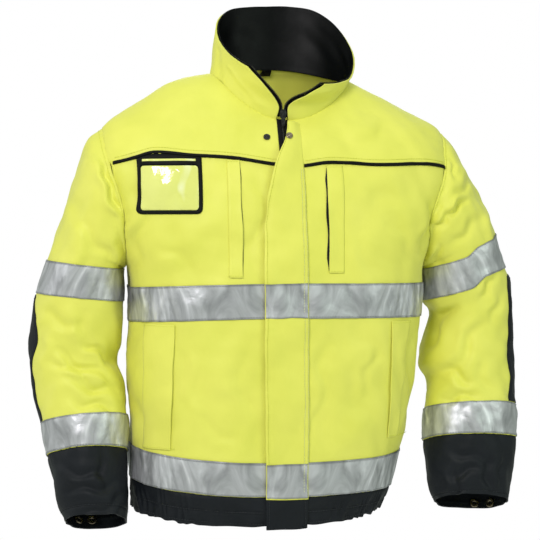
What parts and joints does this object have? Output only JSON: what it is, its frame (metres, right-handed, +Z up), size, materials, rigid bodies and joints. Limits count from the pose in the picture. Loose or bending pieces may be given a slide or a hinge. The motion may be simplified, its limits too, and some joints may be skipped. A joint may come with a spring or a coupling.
{
  "type": "hi-vis work jacket",
  "caption": "Hip-length high-visibility work jacket in worn shape, with stand-up collar, storm flap over a front zip, reflective tape bands, card holder and dark cuffs and hem.",
  "frame": {"origin": "middle of the body at the level where the shoulders meet the neck, where the wearer's shoulders hold the jacket", "axes": "+Z up, front faces -Y, the wearer's left is +X"},
  "size_m": [0.7561, 0.2858, 0.8035],
  "materials": {
    "yellow_shell": "matt fluorescent yellow woven cloth",
    "dark_shell": "matt dark navy woven cloth",
    "dark_lining": "soft dark lining cloth",
    "reflective_tape": "silver retro-reflective tape",
    "zip_tape": "dark woven zip tape",
    "card_window": "clear glossy plastic film",
    "metal": "dark satin metal"
  },
  "bodies": {
    "jacket": {"back": "yellow_shell", "card_holder_frame": "dark_shell", "card_holder_window": "card_window", "chest_pocket_left": "yellow_shell", "chest_pocket_right": "yellow_shell", "collar": "yellow_shell", "collar_lining": "dark_lining", "cuff_left": "dark_shell", "cuff_right": "dark_shell", "elbow_panel_left": "dark_shell", "elbow_panel_right": "dark_shell", "front_left": "yellow_shell", "front_right": "yellow_shell", "hem_band_back": "dark_shell", "hem_band_left": "dark_shell", "hem_band_right": "dark_shell", "neck_tab": "dark_lining", "piping_left": "dark_shell", "piping_right": "dark_shell", "side_pocket_left": "yellow_shell", "side_pocket_right": "yellow_shell", "sleeve_left": "yellow_shell", "sleeve_right": "yellow_shell", "snap_cuff_left_inner": "metal", "snap_cuff_left_outer": "metal", "snap_cuff_right_inner": "metal", "snap_cuff_right_outer": "metal", "snap_flap": "metal", "snap_front": "metal", "storm_flap": "yellow_shell", "storm_flap_hem": "dark_shell", "tape_arm_left": "reflective_tape", "tape_arm_right": "reflective_tape", "tape_chest_back": "reflective_tape", "tape_chest_flap": "reflective_tape", "tape_chest_left": "reflective_tape", "tape_chest_right": "reflective_tape", "tape_hem_back": "reflective_tape", "tape_hem_flap": "reflective_tape", "tape_hem_left": "reflective_tape", "tape_hem_right": "reflective_tape", "tape_wrist_left": "reflective_tape", "tape_wrist_right": "reflective_tape", "yoke_left": "yellow_shell", "yoke_right": "yellow_shell", "zip_closed": "zip_tape", "zip_open_left": "zip_tape", "zip_open_right": "zip_tape", "zip_slider": "metal"},
    "pull_tab": {"zip_pull": "metal"}
  },
  "joints": [
    {"name": "pull_tab_hinge", "type": "hinge", "parent": "jacket", "child": "pull_tab", "pos_m": [0, -0.09605, -0.0567], "axis": [1, 0, 0], "range_deg": [-150, 0]}
  ]
}
